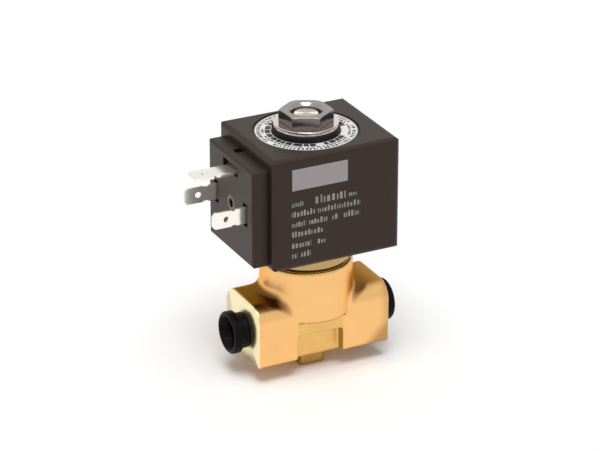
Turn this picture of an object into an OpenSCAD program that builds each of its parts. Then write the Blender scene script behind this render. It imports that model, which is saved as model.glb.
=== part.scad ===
// Two-way solenoid valve: forged brass body with two ports, a plunger tube, and an encapsulated coil
// with three connector blades. Millimetres, +Z up. The origin is the stem axis at the sole of the foot.
// The ports lie along X and the connector faces -X.

/* [Brass body] */
// Distance from the stem axis to the face of the inlet port
inlet_end = 19.4; // [19:0.1:21]
// Distance from the stem axis to the face of the outlet port
outlet_end = 20.4; // [19:0.1:21]
// Width of each port boss across Y
boss_width = 20.8; // [20:0.2:21.6]
// Height of the underside of the bosses above the sole of the foot
boss_bottom_z = 5.2; // [4.8:0.1:5.4]
// Height of the top of the bosses above the sole of the foot
boss_top_z = 22.7; // [22.2:0.1:23]
// Radius of the two upper edges of a boss
boss_upper_edge = 5; // [4:0.1:5.4]
// Radius of the two lower edges of a boss
boss_lower_edge = 0.8; // [0.4:0.1:1.2]
// Height of the port axis above the sole of the foot
port_axis_z = 12.9; // [12.6:0.1:13.4]
// Distance from the stem axis to the inlet side of the slot between the bosses
slot_inlet = 7.5; // [6.5:0.1:8]
// Distance from the stem axis to the outlet side of that slot
slot_outlet = 6.3; // [5.8:0.1:7.5]
// Depth of the pocket at the foot of that slot
pocket_recess = 2.7; // [1:0.1:3]
// Diameter of the round neck
neck_diameter = 25.8; // [25.4:0.2:27]
// Height of the neck's lower lip
neck_bottom_z = 16.5; // [16:0.1:17.4]
// Height of the neck's upper rim
neck_top_z = 31.7; // [31.4:0.1:31.9]
// Radius of the fillet between the neck and a boss
neck_fillet = 3; // [1:0.5:3]
// Width of the square foot along X
foot_width = 7.6; // [7:0.2:9]
// Depth of the foot along Y
foot_depth = 8.4; // [8:0.2:10]

/* [Ports] */
// Minor diameter of the G1/8 port thread
port_minor = 8.57; // [8.5:0.01:8.7]
// Major diameter of the G1/8 port thread
port_major = 9.73; // [9.6:0.01:9.8]
// Pitch of the port thread
port_pitch = 0.907; // [0.8:0.001:1]
// Number of thread grooves in a port
port_threads = 9; // [6:1:10]
// Diameter of the flow passages behind the ports
passage_diameter = 4.4; // [3:0.1:4.6]
// Diameter of the orifice in the seat
orifice_diameter = 3; // [1.5:0.1:3]

/* [Plunger tube] */
// Diameter of the flange of the tube base
flange_diameter = 24.2; // [23:0.2:24.8]
// Height of the dark gap between the neck's rim and that flange
flange_gap = 0.4; // [0.3:0.1:0.6]
// Thickness of that flange
flange_height = 3.7; // [3.4:0.1:3.8]
// Diameter of the spigot that screws into the neck
spigot_diameter = 18.9; // [18:0.1:19]
// Outer diameter of the plunger tube
tube_diameter = 13; // [13:0.1:13.2]
// Wall of the plunger tube
tube_wall = 0.5; // [0.4:0.05:0.5]
// Stroke of the plunger
stroke = 2; // [1:0.1:2]
// Length of the plunger without its seal
plunger_length = 29.1; // [28:0.1:29.5]
// Wire of the return spring
spring_wire = 0.7; // [0.5:0.05:0.7]
// Mean diameter of the return spring
spring_mean = 5.2; // [5:0.1:5.2]
// Curls of the return spring
spring_curls = 8; // [5:1:8]

/* [Coil] */
// Length of the coil along X
coil_length = 38.2; // [37.8:0.2:40]
// Distance from the stem axis to the coil's connector side
coil_left = 18.1; // [17.8:0.1:18.4]
// Width of the coil along Y
coil_width = 33.1; // [32.5:0.1:34]
// Height of the coil
coil_height = 32.4; // [32.2:0.1:33]
// Radius of the coil's edges
coil_edge = 1.5; // [1:0.1:2]
// Diameter of the printed ring on top
label_diameter = 28.6; // [28:0.2:29.6]
// Length of the bare plate on the front
plate_length = 16.6; // [14:0.2:18]
// Height of that plate
plate_height = 6.1; // [5:0.1:7]
// Outer diameter of the bobbin's flanges and so of the winding space
bobbin_diameter = 25; // [23:0.2:25.4]
// Thickness of the steel yoke
yoke_thickness = 2.5; // [2:0.1:2.5]

/* [Connector] */
// How far the connector pad stands out of the coil
pad_depth = 4.6; // [4:0.1:5]
// Width of the connector pad across Y
pad_width = 27.6; // [27:0.1:28]
// Height of the connector pad
pad_height = 28.1; // [27.5:0.1:28.4]
// Height of the pad's lower edge above the coil's underside
pad_rise = 1.05; // [0.8:0.05:1.5]
// Distance between the two contact blades
blade_pitch = 18; // [17:0.1:18]
// Height of the contact blades above the coil's underside
blade_rise = 15.3; // [15:0.1:15.6]
// Height of the ground blade above the contact blades
ground_rise = 9.7; // [9.4:0.1:10]
// Width of a contact blade
blade_width = 4.8; // [4.4:0.1:5]
// Width of the ground blade
ground_width = 6; // [5:0.1:6.3]
// Thickness of every blade
blade_thickness = 0.8; // [0.6:0.1:0.8]
// How far a contact blade stands out of the pad
blade_reach = 9.8; // [8:0.1:11]
// How far the ground blade stands out of the pad
ground_reach = 11.7; // [9:0.1:12]
// Tapping diameter of the M3 screw that holds the cable socket
insert_bore = 2.5; // [2.4:0.05:2.6]

/* [Nut and washer] */
// Width of the nut across its flats
nut_flats = 13; // [12:0.1:13.6]
// Height of the nut
nut_height = 3.25; // [3:0.05:4]
// Diameter of the stud that the nut screws on to
stud_diameter = 8; // [6:0.1:8]
// Diameter of the countersink in the top of the nut
nut_sink = 9.8; // [9:0.1:10]
// Outer diameter of the washer under the nut
washer_diameter = 17.8; // [16:0.1:18.6]
// Thickness of that washer
washer_thickness = 1.2; // [0.8:0.05:1.4]
// Outer diameter of the rubber seal under the washer
top_seal_diameter = 18.6; // [17:0.2:18.8]
// Height that the seal holds the washer above the coil's top
washer_rise = 1.5; // [1:0.05:2]

/* [Dust plugs] */
// Diameter of a plug's flange
plug_flange = 12; // [11:0.1:12.4]
// Length of that flange
plug_flange_length = 2.8; // [2:0.1:3]
// Diameter of the neck between the flange and the port
plug_neck = 10; // [9.9:0.1:10.4]
// How far the inlet plug stands out of its port
inlet_plug_reach = 4.9; // [4:0.1:5]
// How far the outlet plug stands out of its port
outlet_plug_reach = 4.8; // [4:0.1:5]
// How deep a plug sits in its port
plug_depth = 6; // [4:0.5:7]

/* [Hidden] */
$fn = 96;
// Overlap that keeps joined shapes and cuts from ending on one another's faces
lap = 1;
// Gap between faces that slide or screw past each other
slip = 0.05;

boss_half = boss_width / 2;
web_bottom_z = boss_bottom_z - 0.5;
web_half = boss_half - 0.4;
pocket_top_z = 12.1;
pocket_half = boss_half - pocket_recess;
foot_corner = 0.8;
neck_radius = neck_diameter / 2;
neck_chamfer = 0.25;
neck_bore = spigot_diameter / 2 + slip;
neck_bore_z = 24;
chamber_radius = 7;
chamber_z = 18.6;
seat_radius = 4;
seat_bottom_z = 16.4;
seat_top_z = 20.4;
port_depth = port_threads * port_pitch + 1.8;
port_mouth = plug_neck / 2 - 0.1;
inlet_drop_x = -5.5;
inlet_drop_radius = 1.4;
outlet_drop_radius = 1.8;

flange_bottom_z = neck_top_z + flange_gap;
flange_top_z = flange_bottom_z + flange_height;
flange_chamfer = 0.3;
spigot_bottom_z = 24.5;
tube_bottom_z = 27;
tube_radius = tube_diameter / 2;
tube_bore = tube_radius - tube_wall;
plunger_radius = tube_bore - slip;
plunger_bottom_z = seat_top_z + 0.5;
plunger_top_z = plunger_bottom_z + plunger_length;
core_bottom_z = plunger_top_z + stroke + slip;
plunger_seal_radius = 3.5;
plunger_seal_depth = 2.2;
spring_pocket = spring_mean / 2 + spring_wire / 2 + 0.35;
spring_pocket_z = plunger_top_z - 10;
spring_rings = 8;
spring_sides = 6;
spring_low_z = spring_pocket_z + spring_wire / 2 + slip;
spring_high_z = core_bottom_z - spring_wire / 2 - slip;
shading_inner = 3.8;
shading_outer = 4.9;
shading_depth = 2;

coil_seal_height = 0.55;
coil_z = flange_top_z + coil_seal_height + slip;
coil_top_z = coil_z + coil_height;
coil_middle_x = coil_length / 2 - coil_left;
coil_front_y = -coil_width / 2;
coil_bore = tube_radius + slip;
coil_seal_radius = 11;
coil_wall_z = 1.1;
label_depth = 0.5;
label_thickness = 0.3;
label_gap = 0.3;
label_inner = top_seal_diameter / 2 + 0.2;
label_top_z = coil_top_z - label_depth + label_thickness;
coil_roof = 1.4;
tube_top_z = coil_top_z - label_depth - 0.3;
yoke_low_z = coil_z + coil_wall_z;
yoke_high_z = coil_top_z - label_depth - coil_roof;
yoke_left = -13;
yoke_right = 16;
yoke_width = 22;
bobbin_low_z = yoke_low_z + yoke_thickness;
bobbin_high_z = yoke_high_z - yoke_thickness;
bobbin_wall = 1;
bobbin_flange = 1.2;
cavity_radius = bobbin_diameter / 2 + 0.1;
winding_inner = coil_bore + bobbin_wall + slip;
winding_outer = bobbin_diameter / 2 - 0.3;
plate_left = -12.5;
plate_low_z = coil_top_z - 9.3;
plate_sink = 0.15;
plate_thickness = 0.3;

pad_face_x = -coil_left - pad_depth;
pad_edge = 1;
pad_low_z = coil_z + pad_rise;
pad_top_z = pad_low_z + pad_height;
blade_z = coil_z + blade_rise;
ground_z = blade_z + ground_rise;
blade_tail_x = -14;
blade_hole = 1.6;
blade_hole_inset = 4.1;
blade_notch = 0.3;
blade_tip = 0.9;
pocket_depth = 1;
contact_pocket = [2.6, 6.6];
ground_pocket = [9, 3];
key_notch = [2.4, 2.6, 1];
key_notch_y = 2;
insert_radius = 2.3;
insert_length = 6;

washer_low_z = coil_top_z + washer_rise;
washer_top_z = washer_low_z + washer_thickness;
washer_bore = stud_diameter / 2 + 0.3;
nut_z = washer_top_z + slip;
nut_top_z = nut_z + nut_height;
nut_corner = nut_flats / 2 / cos(30);
nut_turn = -26.7;
nut_bore = stud_diameter / 2 + slip;
stud_top_z = nut_top_z - 1.1;

plug_wall = 1;
plug_spigot = port_minor / 2 - 0.08;
plug_lead = 0.8;

// Places a shape made along +Z with its shoulder at the origin on the face of the inlet or the outlet port
module on_inlet() {
    translate([-inlet_end, 0, port_axis_z])
        along_x(-1)
            children();
}

module on_outlet() {
    translate([outlet_end, 0, port_axis_z])
        along_x(1)
            children();
}

// Outline of a rectangle round the origin with four equal round corners
module rounded_outline(size, radius) {
    square([size.x - 2 * radius, size.y], center = true);
    square([size.x, size.y - 2 * radius], center = true);
    for (side = [-1, 1], end = [-1, 1])
        translate([side * (size.x / 2 - radius), end * (size.y / 2 - radius)])
            circle(radius);
}

// Box round the origin with all twelve edges rounded, where three rounded extrusions cross
module rounded_box(size, radius) {
    intersection() {
        linear_extrude(size.z, center = true)
            rounded_outline([size.x, size.y], radius);
        rotate([90, 0, 0])
            linear_extrude(size.y, center = true)
                rounded_outline([size.x, size.z], radius);
        rotate([90, 0, 90])
            linear_extrude(size.x, center = true)
                rounded_outline([size.y, size.z], radius);
    }
}

// Ring round the stem axis between two radii and two heights
module ring(outer, inner, low, high) {
    difference() {
        translate([0, 0, low])
            cylinder(r = outer, h = high - low);
        translate([0, 0, low - lap])
            cylinder(r = inner, h = high - low + 2 * lap);
    }
}

// Turns a shape made along +Z so that it runs along +X or -X
module along_x(side) {
    rotate([0, side * 90, 0])
        children();
}

// End view of a port boss, Y across and Z up
module boss_outline() {
    for (side = [-1, 1]) {
        translate([side * (boss_half - boss_upper_edge), boss_top_z - boss_upper_edge])
            circle(boss_upper_edge);
        translate([side * (boss_half - boss_lower_edge), boss_bottom_z + boss_lower_edge])
            circle(boss_lower_edge);
    }
    translate([-boss_half, boss_bottom_z + boss_lower_edge])
        square([boss_width, boss_top_z - boss_upper_edge - boss_bottom_z - boss_lower_edge]);
    translate([boss_upper_edge - boss_half, boss_bottom_z + boss_lower_edge])
        square([boss_width - 2 * boss_upper_edge, boss_top_z - boss_bottom_z - boss_lower_edge]);
    translate([boss_lower_edge - boss_half, boss_bottom_z])
        square([boss_width - 2 * boss_lower_edge, boss_upper_edge]);
}

// Port boss between two places along X
module boss(start, end) {
    translate([start, 0, 0])
        rotate([90, 0, 90])
            linear_extrude(end - start)
                boss_outline();
}

// Half section of the neck, with its chamfered lip and rim
module neck_section() {
    polygon([
        [0, neck_bottom_z],
        [neck_radius - neck_chamfer, neck_bottom_z],
        [neck_radius, neck_bottom_z + neck_chamfer],
        [neck_radius, neck_top_z - neck_chamfer],
        [neck_radius - neck_chamfer, neck_top_z],
        [0, neck_top_z]
    ]);
}

// Hollow fillet round the neck, kept where it stands on the tops of the bosses
module neck_blend() {
    cut = 0.15;
    half = 7;
    reach = neck_radius + neck_fillet;
    intersection() {
        rotate_extrude()
            difference() {
                translate([neck_radius - lap, boss_top_z - 2 * lap])
                    square([neck_fillet + lap, neck_fillet + 2 * lap]);
                translate([reach, boss_top_z + neck_fillet])
                    circle(neck_fillet + cut);
            }
        translate([-reach, -half, boss_top_z - 2 * lap])
            cube([2 * reach, 2 * half, neck_fillet + 2 * lap]);
    }
}

// Threaded port, mouth at the origin, running down along -Z
module port_cut() {
    minor = port_minor / 2;
    major = port_major / 2;
    flank = port_pitch / 2;
    rotate_extrude()
        polygon([
            [0, lap],
            [port_mouth + lap, lap],
            [minor, minor - port_mouth],
            for (turn = [0 : port_threads - 1])
                each [
                    [minor, minor - port_mouth - turn * port_pitch],
                    [major, minor - port_mouth - turn * port_pitch - flank]
                ],
            [minor, minor - port_mouth - port_threads * port_pitch],
            [minor, -port_depth],
            [0, -port_depth - minor / 2]
        ]);
}

// Flow passages from the two ports to the chamber and the seat
module passages() {
    translate([inlet_drop_x, 0, port_axis_z])
        along_x(-1)
            cylinder(d = passage_diameter, h = inlet_end - port_depth + inlet_drop_x + lap);
    translate([inlet_drop_x, 0, port_axis_z])
        cylinder(r = inlet_drop_radius, h = chamber_z - port_axis_z + lap);
    translate([0, 0, port_axis_z])
        along_x(1)
            cylinder(d = passage_diameter, h = outlet_end - port_depth + lap);
    translate([0, 0, port_axis_z])
        cylinder(r = outlet_drop_radius, h = seat_bottom_z - port_axis_z + lap);
}

module valve_body() {
    web_length = slot_inlet + slot_outlet + 2 * lap;
    color("goldenrod")
        difference() {
            union() {
                boss(-inlet_end, -slot_inlet);
                boss(slot_outlet, outlet_end);
                neck_blend();
                translate([-slot_inlet - lap, -pocket_half, web_bottom_z])
                    cube([web_length, 2 * pocket_half, neck_bottom_z + lap - web_bottom_z]);
                translate([-slot_inlet - lap, -web_half, pocket_top_z])
                    cube([web_length, 2 * web_half, neck_bottom_z + lap - pocket_top_z]);
                linear_extrude(web_bottom_z + lap)
                    rounded_outline([foot_width, foot_depth], foot_corner);
                rotate_extrude()
                    neck_section();
            }
            on_inlet()
                port_cut();
            on_outlet()
                port_cut();
            passages();
            translate([0, 0, seat_bottom_z])
                cylinder(r = seat_radius, h = chamber_z - seat_bottom_z + lap);
            translate([0, 0, chamber_z])
                cylinder(r = chamber_radius, h = neck_bore_z - chamber_z + lap);
            translate([0, 0, neck_bore_z])
                cylinder(r = neck_bore, h = neck_top_z - neck_bore_z + lap);
        }
}

module valve_seat() {
    step = 0.8;
    lip = 0.4;
    color("silver")
        rotate_extrude()
            polygon([
                [orifice_diameter / 2, seat_bottom_z],
                [seat_radius, seat_bottom_z],
                [seat_radius, chamber_z],
                [seat_radius - step, chamber_z],
                [orifice_diameter / 2 + lip, seat_top_z],
                [orifice_diameter / 2, seat_top_z]
            ]);
}

module tube_gasket() {
    width = 1.9;
    color("saddlebrown")
        ring(spigot_diameter / 2 + width, spigot_diameter / 2 + slip, neck_top_z, flange_bottom_z);
}

module tube_base() {
    flange_radius = flange_diameter / 2;
    color("goldenrod")
        rotate_extrude()
            polygon([
                [tube_bore + slip, spigot_bottom_z],
                [spigot_diameter / 2, spigot_bottom_z],
                [spigot_diameter / 2, flange_bottom_z],
                [flange_radius - flange_chamfer, flange_bottom_z],
                [flange_radius, flange_bottom_z + flange_chamfer],
                [flange_radius, flange_top_z - flange_chamfer],
                [flange_radius - flange_chamfer, flange_top_z],
                [tube_radius, flange_top_z],
                [tube_radius, tube_bottom_z],
                [tube_bore + slip, tube_bottom_z]
            ]);
}

module plunger_tube() {
    color("silver")
        ring(tube_radius, tube_bore, tube_bottom_z, tube_top_z);
}

module fixed_core() {
    stud_radius = stud_diameter / 2;
    stud_chamfer = 0.8;
    color("lightgray")
        difference() {
            rotate_extrude()
                polygon([
                    [0, core_bottom_z],
                    [tube_bore, core_bottom_z],
                    [tube_bore, tube_top_z],
                    [stud_radius, tube_top_z],
                    [stud_radius, stud_top_z - stud_chamfer],
                    [stud_radius - stud_chamfer, stud_top_z],
                    [0, stud_top_z]
                ]);
            ring(shading_outer, shading_inner, core_bottom_z - lap, core_bottom_z + shading_depth);
        }
}

module shading_ring() {
    color("chocolate")
        ring(shading_outer, shading_inner, core_bottom_z, core_bottom_z + shading_depth);
}

module lower_coil_seal() {
    color("dimgray")
        ring(coil_seal_radius, tube_radius, flange_top_z, flange_top_z + coil_seal_height);
}

module plunger() {
    groove_rise = 7;
    groove = [2 * plunger_radius, 2.4, plunger_length - groove_rise + lap];
    groove_depth = 0.7;
    color("lightgray")
        difference() {
            translate([0, 0, plunger_bottom_z])
                cylinder(r = plunger_radius, h = plunger_length);
            translate([0, 0, spring_pocket_z])
                cylinder(r = spring_pocket, h = plunger_top_z - spring_pocket_z + lap);
            translate([0, 0, plunger_bottom_z - lap])
                cylinder(r = plunger_seal_radius, h = plunger_seal_depth + lap);
            for (side = [-1, 1])
                translate([
                    side * (2 * plunger_radius - groove_depth) - groove.x / 2,
                    -groove.y / 2,
                    plunger_bottom_z + groove_rise
                ])
                    cube(groove);
        }
}

module plunger_seal() {
    color("black")
        translate([0, 0, seat_top_z + slip])
            cylinder(r = plunger_seal_radius, h = plunger_bottom_z + plunger_seal_depth - seat_top_z - slip);
}

// Point number i along the spring's centre line, and the six points of its wire's section there
spring_steps = spring_curls * spring_rings;
spring_pitch = (spring_high_z - spring_low_z) / spring_curls;
function spring_turn(i) = 360 * i / spring_rings;
function spring_centre(i) = [
    spring_mean / 2 * cos(spring_turn(i)),
    spring_mean / 2 * sin(spring_turn(i)),
    spring_low_z + spring_pitch * i / spring_rings
];
function spring_point(i, side) =
    let (
        turn = spring_turn(i),
        angle = 360 * side / spring_sides,
        out = spring_mean / 2 + spring_wire / 2 * cos(angle)
    )
    [out * cos(turn), out * sin(turn), spring_centre(i).z + spring_wire / 2 * sin(angle)];
function spring_gap() = min([
    for (i = [0 : spring_steps - spring_rings], j = [i + spring_rings / 2 : spring_steps])
        norm(spring_centre(i) - spring_centre(j)) - spring_wire
]);

module return_spring() {
    points = [
        for (i = [0 : spring_steps], side = [0 : spring_sides - 1]) spring_point(i, side),
        spring_centre(0),
        spring_centre(spring_steps)
    ];
    first = len(points) - 2;
    last_ring = spring_steps * spring_sides;
    faces = [
        for (i = [0 : spring_steps - 1], side = [0 : spring_sides - 1])
            let (
                a = i * spring_sides + side,
                b = i * spring_sides + (side + 1) % spring_sides
            )
            each [[a, b, b + spring_sides], [a, b + spring_sides, a + spring_sides]],
        for (side = [0 : spring_sides - 1])
            let (next = (side + 1) % spring_sides)
            each [[first, next, side], [first + 1, last_ring + side, last_ring + next]]
    ];
    echo(spring_least_gap = spring_gap());
    color("silver")
        polyhedron(points, faces);
}

// Steel strap bent into a U round the winding, open towards the connector
module yoke_shape() {
    translate([yoke_left, -yoke_width / 2, yoke_low_z])
        cube([yoke_right - yoke_left, yoke_width, yoke_thickness]);
    translate([yoke_left, -yoke_width / 2, yoke_high_z - yoke_thickness])
        cube([yoke_right - yoke_left, yoke_width, yoke_thickness]);
    translate([yoke_right - yoke_thickness, -yoke_width / 2, yoke_low_z])
        cube([yoke_thickness, yoke_width, yoke_high_z - yoke_low_z]);
}

module yoke_frame() {
    color("slategray")
        difference() {
            yoke_shape();
            translate([0, 0, yoke_low_z - lap])
                cylinder(r = coil_bore, h = yoke_high_z - yoke_low_z + 2 * lap);
        }
}

module coil_bobbin() {
    color("ivory")
        difference() {
            union() {
                translate([0, 0, bobbin_low_z])
                    cylinder(r = coil_bore + bobbin_wall, h = bobbin_high_z - bobbin_low_z);
                for (z = [bobbin_low_z, bobbin_high_z - bobbin_flange])
                    translate([0, 0, z])
                        cylinder(d = bobbin_diameter, h = bobbin_flange);
            }
            translate([0, 0, bobbin_low_z - lap])
                cylinder(r = coil_bore, h = bobbin_high_z - bobbin_low_z + 2 * lap);
        }
}

module copper_winding() {
    color("peru")
        ring(winding_outer, winding_inner, bobbin_low_z + bobbin_flange, bobbin_high_z - bobbin_flange);
}

// Flat blade along -X with a chamfered tip, a hole near the tip and a notch on each edge by the pad
module blade(width, reach) {
    notch_length = 1.4;
    notch_x = -reach + blade_hole_inset + blade_hole + notch_length / 2;
    linear_extrude(blade_thickness, center = true)
        difference() {
            polygon([
                [pad_depth + coil_left + blade_tail_x, -width / 2],
                [-reach + blade_tip, -width / 2],
                [-reach, -width / 2 + blade_tip],
                [-reach, width / 2 - blade_tip],
                [-reach + blade_tip, width / 2],
                [pad_depth + coil_left + blade_tail_x, width / 2]
            ]);
            translate([-reach + blade_hole_inset, 0])
                circle(d = blade_hole);
            for (side = [-1, 1])
                translate([notch_x, side * width / 2])
                    square([notch_length, 2 * blade_notch], center = true);
        }
}

module contact_blade(side) {
    translate([pad_face_x, side * blade_pitch / 2, blade_z])
        rotate([90, 0, 0])
            blade(blade_width, blade_reach);
}

module earth_blade() {
    translate([pad_face_x, 0, ground_z])
        blade(ground_width, ground_reach);
}

// Slots for the blades, the shallow pockets round them, the screw insert's hole and the key notch
module connector_cuts() {
    tail = pad_depth + coil_left + blade_tail_x;
    for (side = [-1, 1])
        translate([pad_face_x - lap, side * blade_pitch / 2, blade_z]) {
            translate([0, -blade_thickness / 2, -blade_width / 2])
                cube([tail + lap, blade_thickness, blade_width]);
            translate([0, -contact_pocket.x / 2, -contact_pocket.y / 2])
                cube([pocket_depth + lap, contact_pocket.x, contact_pocket.y]);
        }
    translate([pad_face_x - lap, 0, ground_z]) {
        translate([0, -ground_width / 2, -blade_thickness / 2])
            cube([tail + lap, ground_width, blade_thickness]);
        translate([0, -ground_pocket.x / 2, -blade_thickness])
            cube([pocket_depth + lap, ground_pocket.x, ground_pocket.y]);
    }
    translate([pad_face_x - lap, 0, blade_z])
        along_x(1)
            cylinder(r = insert_radius, h = insert_length + lap);
    translate([-coil_left - key_notch.x, key_notch_y - key_notch.y / 2, pad_top_z - key_notch.z])
        cube([key_notch.x, key_notch.y, key_notch.z + lap]);
}

module coil_housing() {
    pad_root = 4;
    color([0.16, 0.14, 0.13])
        difference() {
            union() {
                translate([coil_middle_x, 0, coil_z + coil_height / 2])
                    rounded_box([coil_length, coil_width, coil_height], coil_edge);
                translate([pad_face_x + (pad_depth + pad_root) / 2, 0, pad_low_z + pad_height / 2])
                    rounded_box([pad_depth + pad_root, pad_width, pad_height], pad_edge);
            }
            translate([0, 0, coil_z - lap])
                cylinder(r = coil_bore, h = coil_height + 2 * lap);
            yoke_shape();
            translate([0, 0, bobbin_low_z])
                cylinder(r = cavity_radius, h = bobbin_high_z - bobbin_low_z);
            translate([0, 0, coil_top_z - label_depth])
                cylinder(r = label_diameter / 2 + label_gap, h = label_depth + lap);
            translate([plate_left, coil_front_y - lap, plate_low_z])
                cube([plate_length, plate_sink + lap, plate_height]);
            connector_cuts();
        }
}

module line_blade() {
    color("gainsboro")
        contact_blade(-1);
}

module neutral_blade() {
    color("gainsboro")
        contact_blade(1);
}

module ground_blade() {
    color("gainsboro")
        earth_blade();
}

module screw_insert() {
    color("darkkhaki")
        translate([pad_face_x, 0, blade_z])
            along_x(1)
                difference() {
                    cylinder(r = insert_radius, h = insert_length);
                    translate([0, 0, -lap])
                        cylinder(d = insert_bore, h = insert_length + 2 * lap);
                }
}

module label_ring() {
    color("white")
        ring(label_diameter / 2, label_inner, label_top_z - label_thickness, label_top_z);
}

module front_plate() {
    color("lightgray")
        translate([plate_left, coil_front_y + plate_sink - plate_thickness, plate_low_z])
            cube([plate_length, plate_thickness, plate_height]);
}

module upper_coil_seal() {
    color("dimgray")
        ring(top_seal_diameter / 2, washer_bore, coil_top_z - label_depth, washer_low_z);
}

module coil_washer() {
    color("gainsboro")
        ring(washer_diameter / 2, washer_bore, washer_low_z, washer_top_z);
}

module coil_nut() {
    chamfer_height = 0.3;
    chamfer_inset = 0.7;
    color("silver")
        translate([0, 0, nut_z])
            difference() {
                intersection() {
                    rotate([0, 0, nut_turn])
                        cylinder(r = nut_corner, h = nut_height, $fn = 6);
                    rotate_extrude()
                        polygon([
                            [0, 0],
                            [nut_corner + lap, 0],
                            [nut_corner, nut_height - chamfer_height],
                            [nut_corner - chamfer_inset, nut_height],
                            [0, nut_height]
                        ]);
                }
                translate([0, 0, -lap])
                    cylinder(r = nut_bore, h = nut_height + 2 * lap);
                translate([0, 0, nut_height - (nut_sink / 2 - nut_bore)])
                    cylinder(r1 = nut_bore, r2 = nut_sink / 2 + lap, h = nut_sink / 2 - nut_bore + lap);
            }
}

// Cup-shaped dust plug along +Z, with its shoulder on the port face at the origin
module plug_shape(reach) {
    flange_radius = plug_flange / 2;
    rim = 0.5;
    cup = plug_spigot - plug_wall;
    cup_mouth = flange_radius - 1.1;
    rotate_extrude()
        polygon([
            [0, -plug_depth],
            [plug_spigot - plug_lead, -plug_depth],
            [plug_spigot, -plug_depth + plug_lead],
            [plug_spigot, slip],
            [plug_neck / 2, slip],
            [plug_neck / 2, reach - plug_flange_length],
            [flange_radius - rim, reach - plug_flange_length],
            [flange_radius, reach - plug_flange_length + rim],
            [flange_radius, reach - rim],
            [flange_radius - rim, reach],
            [cup_mouth, reach],
            [cup, reach - plug_flange_length],
            [cup, -plug_depth + 2 * plug_wall],
            [0, -plug_depth + 2 * plug_wall]
        ]);
}

module inlet_plug() {
    color([0.1, 0.1, 0.1])
        on_inlet()
            plug_shape(inlet_plug_reach);
}

module outlet_plug() {
    color([0.1, 0.1, 0.1])
        on_outlet()
            plug_shape(outlet_plug_reach);
}

valve_body();
valve_seat();
tube_gasket();
tube_base();
plunger_tube();
fixed_core();
shading_ring();
lower_coil_seal();
plunger();
plunger_seal();
return_spring();
coil_housing();
yoke_frame();
coil_bobbin();
copper_winding();
line_blade();
neutral_blade();
ground_blade();
screw_insert();
label_ring();
front_plate();
upper_coil_seal();
coil_washer();
coil_nut();
inlet_plug();
outlet_plug();
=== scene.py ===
"""Looks of the solenoid valve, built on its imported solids.

Lengths here are millimetres and become metres when they reach a mesh. +Z runs up the stem, the ports lie along X,
the connector faces -X and the printed side of the coil faces -Y.
"""

import math
import random

import bmesh
import bpy
import numpy as np
from mathutils import Matrix, Vector


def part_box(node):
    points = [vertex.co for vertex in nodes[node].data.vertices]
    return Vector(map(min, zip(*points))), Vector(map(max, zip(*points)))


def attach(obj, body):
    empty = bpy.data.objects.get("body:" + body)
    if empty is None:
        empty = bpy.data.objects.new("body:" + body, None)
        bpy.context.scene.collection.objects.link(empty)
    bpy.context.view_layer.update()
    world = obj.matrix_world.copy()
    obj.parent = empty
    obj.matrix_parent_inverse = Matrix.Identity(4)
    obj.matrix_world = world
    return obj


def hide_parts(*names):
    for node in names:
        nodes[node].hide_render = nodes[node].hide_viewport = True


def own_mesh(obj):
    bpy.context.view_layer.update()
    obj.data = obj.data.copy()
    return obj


MM = 0.001
# Points closer than this, in metres, are one point
TOUCHING = 1e-6

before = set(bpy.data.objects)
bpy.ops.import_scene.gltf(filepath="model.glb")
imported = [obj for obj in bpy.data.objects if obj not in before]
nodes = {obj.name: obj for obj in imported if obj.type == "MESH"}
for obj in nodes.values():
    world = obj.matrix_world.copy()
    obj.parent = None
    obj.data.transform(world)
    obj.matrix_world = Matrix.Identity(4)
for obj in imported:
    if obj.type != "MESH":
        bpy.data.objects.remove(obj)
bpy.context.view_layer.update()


def box(node):
    """Lowest and highest corner of a solid, in millimetres."""
    low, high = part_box(node)
    return low / MM, high / MM


# Materials


def node_adder(tree):
    """A helper that adds a node to the tree, with its settings and with the values or links of its inputs."""

    def add(kind, inputs=None, **settings):
        node = tree.nodes.new(kind)
        for key, value in settings.items():
            setattr(node, key, value)
        for key, value in (inputs or {}).items():
            if isinstance(value, bpy.types.NodeSocket):
                tree.links.new(value, node.inputs[key])
            else:
                node.inputs[key].default_value = value
        return node

    return add


def new_material(name):
    """A node material with its node tree and its principled shader."""
    material = bpy.data.materials.new(name)
    material.use_nodes = True
    return material, material.node_tree, material.node_tree.nodes["Principled BSDF"]


# Name of the mesh attribute that says how much painted shade a place gets
PAINTED_SHADE = "painted_shade"
# Upward part of the normal of a face that counts as upright for the painted shade on upright faces, and of one that
# no longer does
UPRIGHT = 0.1
TILTED = 0.4
# Marks of the broad noise for each mark of the grain, and depth of the relief
BROAD = 0.12
RELIEF_DEPTH = 0.2 * MM


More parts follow.
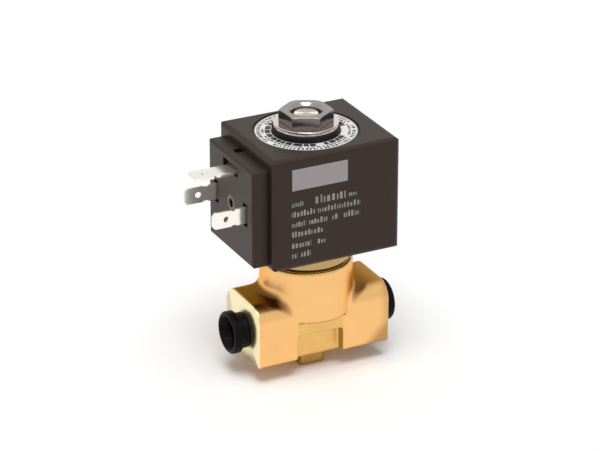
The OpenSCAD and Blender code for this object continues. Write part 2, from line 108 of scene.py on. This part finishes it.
def surface(
    name,
    colour,
    metallic,
    roughness,
    grain,
    bump=0.05,
    shade=0.12,
    wear=0.08,
    specular=0.5,
    tint=(1, 1, 1),
    stretch=(1, 1, 1),
    painted_shade=None,
    side=None,
    turned=0.0,
):
    """A finish whose tone, gloss and relief vary with noise.

    The grain is in marks per metre. Shade, wear and bump say how far the tone, the gloss and the relief vary. Stretch
    draws the noise out into streaks along the axes where it is small. Painted shade is the colour of the painted
    shade where the mesh is marked with it, side is a darker colour painted on upright faces as painted shade, and
    turned is how far the marks of a lathe draw out the highlights.
    """
    material, tree, shader = new_material(name)
    add = node_adder(tree)
    where = add("ShaderNodeTexCoord").outputs
    place = where["Object"]
    drawn = add("ShaderNodeVectorMath", {0: place, 1: stretch}, operation="MULTIPLY").outputs["Vector"]
    broad = add("ShaderNodeTexNoise", {"Vector": place, "Scale": grain * BROAD, "Detail": 4.0})
    fine = add("ShaderNodeTexNoise", {"Vector": drawn, "Scale": grain, "Detail": 6.0})
    tone = add("ShaderNodeMapRange", {"Value": broad.outputs["Fac"], "To Min": 1 - shade, "To Max": 1 + shade})
    if painted_shade or side:
        if painted_shade:
            share = add("ShaderNodeAttribute", attribute_name=PAINTED_SHADE).outputs["Fac"]
        else:
            upward = add("ShaderNodeSeparateXYZ", {"Vector": where["Normal"]}).outputs["Z"]
            uprightness = add("ShaderNodeMapRange", {"Value": upward, "From Min": TILTED, "From Max": UPRIGHT})
            share = uprightness.outputs["Result"]
        both = {"Factor": share, "A": (*colour, 1), "B": (*(painted_shade or side), 1)}
        colour = add("ShaderNodeMix", both, data_type="RGBA").outputs["Result"]
    toned = add("ShaderNodeVectorMath", {0: colour, "Scale": tone.outputs["Result"]}, operation="SCALE")
    gloss = add(
        "ShaderNodeMapRange",
        {"Value": fine.outputs["Fac"], "To Min": roughness - wear, "To Max": roughness + wear},
    )
    relief = add("ShaderNodeBump", {"Height": fine.outputs["Fac"], "Strength": bump, "Distance": RELIEF_DEPTH})
    tree.links.new(toned.outputs["Vector"], shader.inputs["Base Color"])
    tree.links.new(gloss.outputs["Result"], shader.inputs["Roughness"])
    tree.links.new(relief.outputs["Normal"], shader.inputs["Normal"])
    shader.inputs["Metallic"].default_value = metallic
    shader.inputs["Specular IOR Level"].default_value = specular
    shader.inputs["Specular Tint"].default_value = (*tint, 1)
    if turned:
        around = add("ShaderNodeTangent", direction_type="RADIAL", axis="Z")
        tree.links.new(around.outputs["Tangent"], shader.inputs["Tangent"])
        shader.inputs["Anisotropic"].default_value = turned
    return material


# Forged brass that takes painted shade where the mesh is marked: the dark brown stands for the coil's dark underside
# reflected in the tops and fillets, and for the floor's shadow seen in the outlet end's rim and low corners.
FORGED = surface(
    "forged_brass",
    (0.92, 0.54, 0.21),
    1.0,
    0.32,
    grain=1500,
    bump=0.10,
    shade=0.07,
    tint=(1.0, 0.70, 0.42),
    painted_shade=(0.20, 0.09, 0.022),
)
# The web in the slot gets a darker copy of the brass, painted shade for its recess under the neck's lip.
SHADED_WEB_BRASS = surface("shaded_web_brass", (0.80, 0.50, 0.17), 1.0, 0.38, grain=1500, bump=0.12, shade=0.10)
# A still darker copy of the brass, painted shade on the foot, the slot's sides and under the neck's lip.
SHADED_BRASS = surface("shaded_brass", (0.52, 0.32, 0.10), 1.0, 0.46, grain=1500, bump=0.12, shade=0.15)
TURNED = surface("turned_brass", (0.93, 0.62, 0.27), 1.0, 0.28, grain=2200, bump=0.03, shade=0.04)
# The faced port ends get a much paler brass: partly the bright finish of facing, partly a painted highlight standing
# for the bright floor they reflect.
FACED_HIGHLIT = surface("faced_highlit_brass", (0.95, 0.82, 0.50), 1.0, 0.28, grain=2200, bump=0.02, shade=0.03)
# The tube base's flange gets a darker brass, painted shade for its place under the coil's overhang.
SHADED_FLANGE = surface("shaded_flange_brass", (0.46, 0.33, 0.13), 1.0, 0.22, grain=2200, bump=0.03, shade=0.06)
STEEL = surface("steel", (0.62, 0.62, 0.62), 1.0, 0.28, grain=2500, bump=0.04)
STUD = surface("stud_steel", (0.70, 0.65, 0.54), 1.0, 0.45, grain=2500, bump=0.04, turned=0.9)
# The nut gets a darker colour on its upright faces, painted shade for the dark reflections on its facets.
NICKEL = surface(
    "nickel",
    (0.36, 0.33, 0.315),
    1.0,
    0.18,
    grain=2500,
    bump=0.04,
    shade=0.06,
    side=(0.17, 0.153, 0.15),
    turned=0.5,
)
ZINC = surface("zinc_washer", (0.82, 0.73, 0.69), 1.0, 0.12, grain=2500, bump=0.04, shade=0.06)
# The screw insert gets a dark colour, painted shade standing for the shade that the insert lies in.
SHADED_INSERT = surface("shaded_insert_brass", (0.18, 0.15, 0.12), 1.0, 0.42, grain=2500, bump=0.06)
BLADE = surface("tinned_blade", (0.97, 0.94, 0.86), 0.85, 0.18, grain=2600, shade=0.06, stretch=(0.2, 1, 1))
COPPER = surface("copper", (0.80, 0.42, 0.24), 1.0, 0.30, grain=3000, bump=0.08)
RESIN = surface(
    "coil_resin",
    (0.012, 0.007, 0.0055),
    0.0,
    0.45,
    grain=3200,
    bump=0.10,
    shade=0.2,
    specular=0.47,
    tint=(1.0, 0.76, 0.66),
)
BLACK_RUBBER = surface("black_rubber", (0.006, 0.005, 0.005), 0.0, 0.6, grain=2600, bump=0.06, specular=0.25)
BROWN_RUBBER = surface("brown_rubber", (0.04, 0.014, 0.007), 0.0, 0.55, grain=2600, bump=0.06)
BOBBIN = surface("bobbin_plastic", (0.72, 0.68, 0.55), 0.0, 0.5, grain=2600)
PLUG = surface("plug_plastic", (0.004, 0.003, 0.003), 0.0, 0.42, grain=2200, bump=0.12, shade=0.2, specular=0.09)
LABEL = surface("label_white", (0.80, 0.77, 0.745), 0.0, 0.40, grain=1800, bump=0.03, shade=0.04)
PLATE = surface("plate_silver", (0.33, 0.305, 0.30), 0.5, 0.42, grain=2600, shade=0.05, stretch=(0.1, 1, 1))
INK = surface("label_ink", (0.014, 0.012, 0.012), 0.0, 0.45, grain=2600, bump=0.02)
PRINT = surface("pale_print", (0.30, 0.28, 0.27), 0.0, 0.5, grain=3400, bump=0.02, shade=0.25)

FINISHES = {
    TURNED: ["valve_body"],
    SHADED_FLANGE: ["tube_base"],
    STEEL: ["valve_seat", "plunger_tube", "plunger", "return_spring", "yoke_frame"],
    STUD: ["fixed_core"],
    ZINC: ["coil_washer"],
    NICKEL: ["coil_nut"],
    SHADED_INSERT: ["screw_insert"],
    BLADE: ["line_blade", "neutral_blade", "ground_blade"],
    COPPER: ["shading_ring", "copper_winding"],
    RESIN: ["coil_housing"],
    BLACK_RUBBER: ["lower_coil_seal", "plunger_seal", "upper_coil_seal"],
    BROWN_RUBBER: ["tube_gasket"],
    BOBBIN: ["coil_bobbin"],
    PLUG: ["inlet_plug", "outlet_plug"],
    LABEL: ["label_ring"],
    PLATE: ["front_plate"],
}

# Width of the bevel that takes the sharpness off the edges of a solid
BEVELS = {
    "tube_base": 0.15,
    "coil_washer": 0.15,
    "coil_nut": 0.12,
    "screw_insert": 0.15,
    "line_blade": 0.1,
    "neutral_blade": 0.1,
    "ground_blade": 0.1,
    "upper_coil_seal": 0.4,
    "inlet_plug": 0.2,
    "outlet_plug": 0.2,
    "front_plate": 0.08,
}


def paint(piece, *materials):
    """Gives a piece its materials. Clearing the slots also resets the faces' own choices, so a new mesh skips it."""
    if piece.data.materials:
        piece.data.materials.clear()
    for material in materials:
        piece.data.materials.append(material)


def round_edges(piece, width):
    """Joins the solid's split faces, drops the lines across its flats and bevels its edges."""
    piece.modifiers.new("weld", "WELD").merge_threshold = TOUCHING
    flats = piece.modifiers.new("flats", "DECIMATE")
    flats.decimate_type = "DISSOLVE"
    flats.angle_limit = math.radians(0.5)
    bevel = piece.modifiers.new("bevel", "BEVEL")
    bevel.width = width * MM
    bevel.segments = 2
    bevel.limit_method = "ANGLE"
    bevel.angle_limit = math.radians(35)
    bevel.use_clamp_overlap = False
    piece.modifiers.new("normals", "WEIGHTED_NORMAL")


for finish, names in FINISHES.items():
    for name in names:
        paint(nodes[name], finish)
for name, width in BEVELS.items():
    round_edges(nodes[name], width)


def new_piece(name, mesh, body, slot, *materials):
    """Adds a piece that rides on a body, with its materials; the slot argument is not used."""
    piece = bpy.data.objects.new(name, mesh)
    bpy.context.scene.collection.objects.link(piece)
    paint(piece, *materials)
    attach(piece, body)
    return piece


# Brass body

# Sizes of the solid
BODY_LOW, BODY_HIGH = box("valve_body")
PORT_Z = (box("inlet_plug")[0].z + box("inlet_plug")[1].z) / 2
PORT_MOUTH = 4.9
NECK_RADIUS = BODY_HIGH.y
LIP_Z = 16.5
BORE_RADIUS = 9.6
BORE_FLOOR = 18.0
SEAT_RADIUS = 7.5
# The bosses: half their width, heights of their sole and top, and radii of their upper and lower edges
BOSS_HALF = 10.4
BOSS_FOOT = 5.2
BOSS_TOP = 22.7
UPPER_EDGE = 5.0
LOWER_EDGE = 0.8
# The slot between the bosses: its two sides, the height of its corners, and how far in it counts as slot
SLOT_INLET = -7.6
SLOT_OUTLET = 6.4
SLOT_TOP = 12.3
SLOT_DEPTH = 0.2

# The soft skin: size of its grid, how far each round moves a point, and the rounds for the blend and for all edges
VOXEL = 0.3
PULL = 0.5
BLEND_ROUNDS = 120
EDGE_ROUNDS = 6
# The blend between neck and bosses: its reach, its least distance from the middle, and the heights where it fades in
BLEND_REACH = 1.6
BLEND_SIDE = 5
BLEND_FOOT = 18.5
BLEND_FULL = 21.5

# The crisp ends: how far behind them the skin keeps its form and where it is cut away, how far their collars reach
# over the skin and stand out from it, the broken edges of the port ends and of the neck's rim, and how far ends and
# bores overlap
END_KEEP = 1.2
SKIN_CUT = 0.5
COLLAR = 0.9
COLLAR_LIFT = 0.01
END_BREAK = 0.12
RIM_BREAK = 0.25
OVERLAP = 0.1

# Numbers of the finishes on the body, in the order in which its piece lists them
ON_FORGED, ON_TURNED, ON_FACED_HIGHLIT, ON_SHADED, ON_WEB = range(5)


def ramp(values, start, end):
    """Rises from 0 to 1 as the values go from start to end."""
    return np.clip((values - start) / (end - start), 0, 1)


def from_boss(y, z):
    """How far a place in the end view lies outside the outline of the bosses."""
    edge = np.where(z > PORT_Z, UPPER_EDGE, LOWER_EDGE)
    across = np.abs(y) - BOSS_HALF + edge
    above = np.abs(z - (BOSS_TOP + BOSS_FOOT) / 2) - (BOSS_TOP - BOSS_FOOT) / 2 + edge
    outside = np.hypot(np.maximum(across, 0), np.maximum(above, 0))
    return outside + np.minimum(np.maximum(across, above), 0) - edge


def read_points(mesh):
    """The mesh's points, in millimetres."""
    points = np.empty(len(mesh.vertices) * 3)
    mesh.vertices.foreach_get("co", points)
    return points.reshape(-1, 3) / MM


def read_edges(mesh):
    """The two point numbers of each edge."""
    edges = np.empty(len(mesh.edges) * 2, dtype=np.int64)
    mesh.edges.foreach_get("vertices", edges)
    return edges.reshape(-1, 2)


def soften(points, edges, share, rounds):
    """Moves each point towards the mean of its neighbours by its own share, a number of times."""
    ends = np.concatenate([edges[:, 0], edges[:, 1]])
    others = np.concatenate([edges[:, 1], edges[:, 0]])
    count = np.bincount(ends, minlength=len(points))
    for _ in range(rounds):
        mean = np.stack([np.bincount(ends, points[others, i], len(points)) / count for i in range(3)], axis=1)
        points = points + share[:, None] * (mean - points)
    return points


def remeshed(source, voxel):
    """An even mesh of the solid's skin."""
    rough = bpy.data.objects.new("rough", source.data.copy())
    bpy.context.scene.collection.objects.link(rough)
    remesh = rough.modifiers.new("remesh", "REMESH")
    remesh.mode = "VOXEL"
    remesh.voxel_size = voxel * MM
    depsgraph = bpy.context.evaluated_depsgraph_get()
    mesh = bpy.data.meshes.new_from_object(rough.evaluated_get(depsgraph))
    bpy.data.objects.remove(rough)
    return mesh


def soften_forging(mesh):
    """Rounds the forged edges, blends the neck into the bosses and leaves the machined faces as they are."""
    points = read_points(mesh)
    edges = read_edges(mesh)
    x, y, z = points.T
    stem = np.hypot(x, y)
    ends = (x < BODY_LOW.x + END_KEEP) | (x > BODY_HIGH.x - END_KEEP)
    machined = ends | (z > BODY_HIGH.z - COLLAR) | (stem < BORE_RADIUS) & (z > BORE_FLOOR)
    free = np.where(machined, 0.0, PULL)
    near = from_boss(y, z) ** 2 + (stem - NECK_RADIUS) ** 2
    blend = np.exp(-near / (2 * BLEND_REACH**2)) * (np.abs(x) > BLEND_SIDE) * ramp(z, BLEND_FOOT, BLEND_FULL)
    points = soften(points, edges, free * blend, BLEND_ROUNDS)
    points = soften(points, edges, free, EDGE_ROUNDS)
    mesh.vertices.foreach_set("co", (points * MM).ravel())
    mesh.update()


def in_bore(point):
    """True in the bores and passages of the body, which the soft skin leaves to the crisp solid."""
    stem = math.hypot(point.x, point.y)
    in_port = math.hypot(point.y, point.z - PORT_Z) < PORT_MOUTH + OVERLAP
    in_neck = stem < BORE_RADIUS and point.z > BORE_FLOOR
    in_seat = stem < SEAT_RADIUS and point.z > PORT_Z
    return in_port or in_neck or in_seat


# Places on the skin that get painted shade: how far below the bosses the foot starts, how far the normals of the
# slot's sides and of the lip's underside lean, and the heights of the lip's underside and of the painted shadow line
# below it
FOOT_DROP = 0.8
SIDE_LEAN = 0.7
LIP_LEAN = 0.35
LIP_BAND = 1
LIP_LINE = 0.5


def skin_finish(place, normal):
    """Number of the finish at a place on the skin: forged, or a darker brass painted as shade on the web in the slot,
    or a still darker brass painted as shade on the foot, on the slot's sides and under the neck's lip."""
    in_slot = SLOT_INLET < place.x < SLOT_OUTLET and abs(place.y) < BOSS_HALF - SLOT_DEPTH
    on_foot = place.z < BOSS_FOOT - FOOT_DROP
    slot_side = in_slot and place.z < SLOT_TOP and abs(normal.x) > SIDE_LEAN
    under_lip = LIP_Z - LIP_BAND < place.z < LIP_Z + LIP_BAND and normal.z < -LIP_LEAN
    lip_line = in_slot and LIP_Z - LIP_LINE < place.z < LIP_Z
    if on_foot or slot_side or under_lip or lip_line:
        return ON_SHADED
    return ON_WEB if in_slot and place.z < LIP_Z else ON_FORGED


# Upward parts of the normal at which a place starts to get the painted shade, a dark painted reflection of the coil's
# underside, and at which it fully does, in the fillets beside the neck and out on the bosses, and the distances from
# the neck over which fillet turns to boss
FILLET_TOPS = (0.25, 0.62)
BOSS_TOPS = (0.85, 0.985)
FILLET_SPAN = (1, 4)
# Share of the painted shade on the tops that fades off towards the outlet end, and along X where that grows
TOPS_SHADE_FADE = 0.35
TOPS_SHADE_FADE_SPAN = (14, 19)
# Painted shade on the rim of the outlet end, and, as the floor's shadow painted into the brass, on its low corners by
# the distance from them along X and Z together
RIM_SHADE = 0.3
RIM_SPAN = (17.5, 20)
CORNER_SHADE = 0.55
CORNER_SPAN = (9, 5)


def paint_forging_shade(mesh):
    """Marks where shade is painted: a dark painted reflection on the tops of the bosses and the fillets beside the
    neck, and painted shade on the outlet end's rim and low corners."""
    x, y, z = read_points(mesh).T
    normals = np.empty(len(mesh.vertices) * 3)
    mesh.vertices.foreach_get("normal", normals)
    upward = normals.reshape(-1, 3)[:, 2]
    from_neck = ramp(np.hypot(x, y) - NECK_RADIUS, *FILLET_SPAN)
    least, full = (fillet + (boss - fillet) * from_neck for fillet, boss in zip(FILLET_TOPS, BOSS_TOPS))
    tops = ramp(upward, least, full) * (1 - TOPS_SHADE_FADE * ramp(x, *TOPS_SHADE_FADE_SPAN))
    rim = RIM_SHADE * ramp(x, *RIM_SPAN)
    low_corners = CORNER_SHADE * ramp(BODY_HIGH.x - x + z - BOSS_FOOT, *CORNER_SPAN)
    painted_shade = mesh.attributes.new(PAINTED_SHADE, "FLOAT", "POINT")
    painted_shade.data.foreach_set("value", np.maximum(tops, np.maximum(rim, low_corners)))


def forged_body():
    """The brass body: a soft forged skin, the threaded ports of the solid and crisp machined ends."""
    skin = remeshed(nodes["valve_body"], VOXEL)
    soften_forging(skin)
    shape = bmesh.new()
    shape.from_mesh(skin)
    inner = []
    for face in shape.faces:
        centre = face.calc_center_median() / MM
        at_end = centre.x < BODY_LOW.x + SKIN_CUT or centre.x > BODY_HIGH.x - SKIN_CUT
        if at_end or centre.z > BODY_HIGH.z - SKIN_CUT or in_bore(centre):
            inner.append(face)
        face.material_index = skin_finish(centre, face.normal)
    bmesh.ops.delete(shape, geom=inner, context="FACES")
    ports = bmesh.new()
    ports.from_mesh(nodes["valve_body"].data)
    bmesh.ops.remove_doubles(ports, verts=ports.verts, dist=TOUCHING)
    outer = [face for face in ports.faces if not in_bore(face.calc_center_median() / MM)]
    bmesh.ops.delete(ports, geom=outer, context="FACES")
    for face in ports.faces:
        face.material_index = ON_TURNED
    add_port_ends(ports)
    add_neck_rim(ports)
    extra = bpy.data.meshes.new("ports")
    ports.to_mesh(extra)
    shape.from_mesh(extra)
    ports.free()
    mesh = bpy.data.meshes.new("forged_body")
    shape.to_mesh(mesh)
    shape.free()
    bpy.data.meshes.remove(extra)
    bpy.data.meshes.remove(skin)
    mesh.polygons.foreach_set("use_smooth", [True] * len(mesh.polygons))
    mesh.set_sharp_from_angle(angle=math.radians(40))
    paint_forging_shade(mesh)
    piece = new_piece("forged_body", mesh, "valve", "brass", FORGED, TURNED, FACED_HIGHLIT, SHADED_BRASS, SHADED_WEB_BRASS)
    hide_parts("valve_body")


# Times that the search for the outline of the bosses halves its span
HALVINGS = 40


def boss_radii(turns, offset):
    """Distances from the port axis, at those angles, of a line that far outside the outline of the bosses."""
    near = np.full(len(turns), PORT_MOUTH)
    far = np.full(len(turns), 2 * BOSS_HALF)
    for _ in range(HALVINGS):
        middle = (near + far) / 2
        beyond = from_boss(middle * np.cos(turns), PORT_Z + middle * np.sin(turns)) > offset
        near, far = np.where(beyond, near, middle), np.where(beyond, middle, far)
    return near


def join_loops(shape, rows, finishes):
    """Faces between loops of points, with the number of the finish of each strip."""
    rows = [[shape.verts.new(Vector(place) * MM) for place in row] for row in rows]
    for row, after, finish in zip(rows, rows[1:], finishes):
        for i in range(len(row)):
            shape.faces.new((row[i - 1], after[i - 1], after[i], row[i])).material_index = finish


# Angles of the points of each loop
TURNS = np.linspace(0, 2 * math.pi, 240, endpoint=False)


def add_port_ends(shape):
    """A flat ring round each port mouth, with a broken edge and a short collar over the end of the skin."""
    mouth = np.full(len(TURNS), PORT_MOUTH)
    # Radii of each loop and how far it lies behind the end
    loops = (
        (mouth, 0.0),
        (boss_radii(TURNS, -END_BREAK), 0.0),
        (boss_radii(TURNS, COLLAR_LIFT), END_BREAK + COLLAR_LIFT),
        (boss_radii(TURNS, COLLAR_LIFT), COLLAR),
    )
    for side, end in ((-1, BODY_LOW.x), (1, BODY_HIGH.x)):
        rows = [
            [
                (end - side * behind, side * radius * math.cos(turn), PORT_Z + radius * math.sin(turn))
                for radius, turn in zip(radii, TURNS)
            ]
            for radii, behind in loops
        ]
        join_loops(shape, rows, (ON_FACED_HIGHLIT, ON_FACED_HIGHLIT, ON_FORGED))


def add_neck_rim(shape):
    """The turned rim of the neck, with a broken edge and a short collar over the end of the skin."""
    wall = NECK_RADIUS + COLLAR_LIFT
    # Radius of each loop and how far it lies below the top
    loops = ((BORE_RADIUS - OVERLAP, 0.0), (wall - RIM_BREAK, 0.0), (wall, RIM_BREAK), (wall, COLLAR))
    rows = [
        [(radius * math.cos(turn), radius * math.sin(turn), BODY_HIGH.z - below) for turn in TURNS]
        for radius, below in loops
    ]
    join_loops(shape, rows, (ON_TURNED, ON_TURNED, ON_FORGED))


forged_body()


# Return spring


def pressed_spring():
    """The return spring as a piece of its own, on its own copy of the mesh, in place of the solid."""
    piece = new_piece("pressed_spring", nodes["return_spring"].data.copy(), "valve", "stainless", STEEL)
    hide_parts("return_spring")
    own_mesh(piece)


pressed_spring()


# Print

COIL_FRONT = box("coil_housing")[0].y
LABEL_TOP = box("label_ring")[1].z
LABEL_RADIUS = box("label_ring")[1].y
# How far the ink lies off what it is printed on
INK_LIFT = 0.02
# Longest straight piece of an arc, in degrees
ARC_STEP = 4


def flat_mesh(name, quads):
    """A mesh of separate quads, each given as four points."""
    points = [Vector(point) * MM for quad in quads for point in quad]
    faces = [tuple(range(4 * i, 4 * i + 4)) for i in range(len(quads))]
    mesh = bpy.data.meshes.new(name)
    mesh.from_pydata(points, [], faces)
    return mesh


def ring_quads(inner, outer, start, end, height):
    """Quads of a ring sector between two radii and two angles in degrees."""
    steps = max(1, math.ceil((end - start) / ARC_STEP))
    turns = [math.radians(start + (end - start) * i / steps) for i in range(steps + 1)]

    def place(radius, turn):
        return radius * math.cos(turn), radius * math.sin(turn), height

    return [
        (place(inner, a), place(outer, a), place(outer, b), place(inner, b)) for a, b in zip(turns, turns[1:])
    ]


# Width of the line round the ring's edge
LABEL_EDGE = 0.4
# Rows of dashes on the ring: inner and outer radius, and shortest and longest dash in degrees
LABEL_ROWS = ((9.7, 11.2, 6, 14), (11.5, 12.1, 2, 6), (12.5, 13.5, 1.2, 3.2))
# Where a row's last dash may start and how wide its gaps are, in degrees, and the share of dashes that are printed
LABEL_ROW_END = 355
LABEL_GAPS = (1.0, 3.0)
LABEL_PRINTED = 0.9


def label_print():
    """Plain marks on the ring: an edge line, and three rows of dashes with gaps."""
    chance = random.Random(4)
    height = LABEL_TOP + INK_LIFT
    quads = ring_quads(LABEL_RADIUS - LABEL_EDGE, LABEL_RADIUS, 0, 360, height)
    for inner, outer, shortest, longest in LABEL_ROWS:
        turn = 0.0
        while turn < LABEL_ROW_END:
            length = chance.uniform(shortest, longest)
            if chance.random() < LABEL_PRINTED:
                quads += ring_quads(inner, outer, turn, turn + length, height)
            turn += length + chance.uniform(*LABEL_GAPS)
    new_piece("label_print", flat_mesh("label_print", quads), "coil", "black_rubber", INK)


# Rows of plain dashes on the coil's front: height of the foot, height of the dashes, and the spans they fill
PRINT_ROWS = (
    (54.8, 1.5, ((-12.5, -9.0),)),
    (54.6, 2.6, ((-5.5, 3.5),)),
    (54.8, 1.2, ((4.5, 7.0),)),
    (51.85, 1.7, ((-12.5, -5.6), (-4.8, 7.9))),
    (48.9, 1.7, ((-12.5, -8.2), (-7.4, -2.0), (-0.5, 1.5), (3.0, 7.9))),
    (46.0, 1.7, ((-12.5, -3.2),)),
    (42.75, 1.7, ((-12.5, -6.8), (-4.8, -2.3))),
    (39.8, 1.7, ((-12.5, -10.8), (-9.8, -6.9))),
)
# Widths and heights of those dashes and of the gaps between them, as shares of the row's height
DASH_WIDTHS = (0.14, 0.4)
DASH_HEIGHTS = (0.6, 1.0)
DASH_GAPS = (0.16, 0.3)


def front_print():
    """Dashes in rows where the coil's rating would be printed."""
    chance = random.Random(7)
    depth = COIL_FRONT - INK_LIFT
    quads = []
    for foot, tall, spans in PRINT_ROWS:
        for start, end in spans:
            left = start
            while left < end:
                right = min(left + tall * chance.uniform(*DASH_WIDTHS), end)
                top = foot + tall * chance.uniform(*DASH_HEIGHTS)
                quads.append(((left, depth, foot), (right, depth, foot), (right, depth, top), (left, depth, top)))
                left = right + tall * chance.uniform(*DASH_GAPS)
    new_piece("front_print", flat_mesh("front_print", quads), "coil", "label_white", PRINT)


label_print()
front_print()


# Camera and light

# The photograph's viewing angle in degrees, how far off the camera stands, and the place in the middle of its view:
# a height on the stem axis, and steps across and up the picture from there
VIEW_AZIMUTH = -26.71
VIEW_ELEVATION = 24.53
VIEW_DISTANCE = 822.7
VIEW_HEIGHT = 36.4
VIEW_ACROSS = -1.63
VIEW_UP = 3.58

FLOOR_HALF = 3000
LAMP_DISTANCE = 1000


def unit(azimuth, elevation):
    """Direction from the object towards a viewer at that azimuth and elevation, in degrees."""
    a, e = math.radians(azimuth), math.radians(elevation)
    return Vector((math.sin(a) * math.cos(e), -math.cos(a) * math.cos(e), math.sin(e)))


def picture_axes(back):
    """Directions across and up the picture of a camera that looks along -back with no roll."""
    across = Vector((0, 0, 1)).cross(back).normalized()
    return across, back.cross(across)


def aim(thing, back, place):
    """Places a camera or lamp so that it looks along -back with no roll."""
    turn = Matrix((*picture_axes(back), back)).transposed().to_4x4()
    thing.matrix_world = Matrix.Translation(place * MM) @ turn


def add_camera():
    """The camera, at the photograph's viewing angle."""
    back = unit(VIEW_AZIMUTH, VIEW_ELEVATION)
    across, above = picture_axes(back)
    middle = across * VIEW_ACROSS + above * VIEW_UP + Vector((0, 0, VIEW_HEIGHT))
    data = bpy.data.cameras.new("camera")
    data.sensor_fit = "HORIZONTAL"
    data.sensor_width = 36.0
    data.lens = 180.0
    data.clip_start = 0.05
    data.clip_end = 20.0
    camera = bpy.data.objects.new("camera", data)
    bpy.context.scene.collection.objects.link(camera)
    aim(camera, back, back * VIEW_DISTANCE + middle)
    bpy.context.scene.camera = camera


def add_key(azimuth, elevation, angle, strength):
    """A wide soft source far off, so that the floor is as bright far away as it is at the object."""
    light = bpy.data.lights.new("key", "SUN")
    light.energy = strength
    light.angle = math.radians(angle)
    lamp = bpy.data.objects.new("key", light)
    bpy.context.scene.collection.objects.link(lamp)
    back = unit(azimuth, elevation)
    aim(lamp, back, back * LAMP_DISTANCE)


def seen_tone(tree, plain, seen):
    """A number that is one value in plain light and another to the camera, in reflections and through glass."""
    add = node_adder(tree)
    path = add("ShaderNodeLightPath").outputs
    sight = path["Is Camera Ray"]
    for kind in ("Is Glossy Ray", "Is Transmission Ray"):
        sight = add("ShaderNodeMath", {0: sight, 1: path[kind]}, operation="MAXIMUM").outputs["Value"]
    return add("ShaderNodeMapRange", {"Value": sight, "To Min": plain, "To Max": seen}).outputs["Result"]


def add_floor():
    """A plain pale floor that keeps the object's shadow."""
    corners = [(x * FLOOR_HALF, y * FLOOR_HALF, 0) for x, y in ((-1, -1), (1, -1), (1, 1), (-1, 1))]
    floor = bpy.data.objects.new("floor", flat_mesh("floor", [corners]))
    bpy.context.scene.collection.objects.link(floor)
    material, tree, shader = new_material("floor")
    tree.links.new(seen_tone(tree, plain=0.70, seen=0.97), shader.inputs["Base Color"])
    shader.inputs["Roughness"].default_value = 0.8
    shader.inputs["Specular IOR Level"].default_value = 0.0
    paint(floor, material)


def add_world():
    """Even light from all sides, paler where it is seen."""
    world = bpy.data.worlds.new("studio")
    world.use_nodes = True
    tree = world.node_tree
    background = tree.nodes["Background"]
    background.inputs["Color"].default_value = (1, 1, 1, 1)
    tree.links.new(seen_tone(tree, plain=0.47, seen=0.85), background.inputs["Strength"])
    bpy.context.scene.world = world


add_camera()
add_world()
add_floor()
add_key(azimuth=-27, elevation=72, angle=34, strength=2.0)
bpy.context.scene.view_settings.view_transform = "Standard"
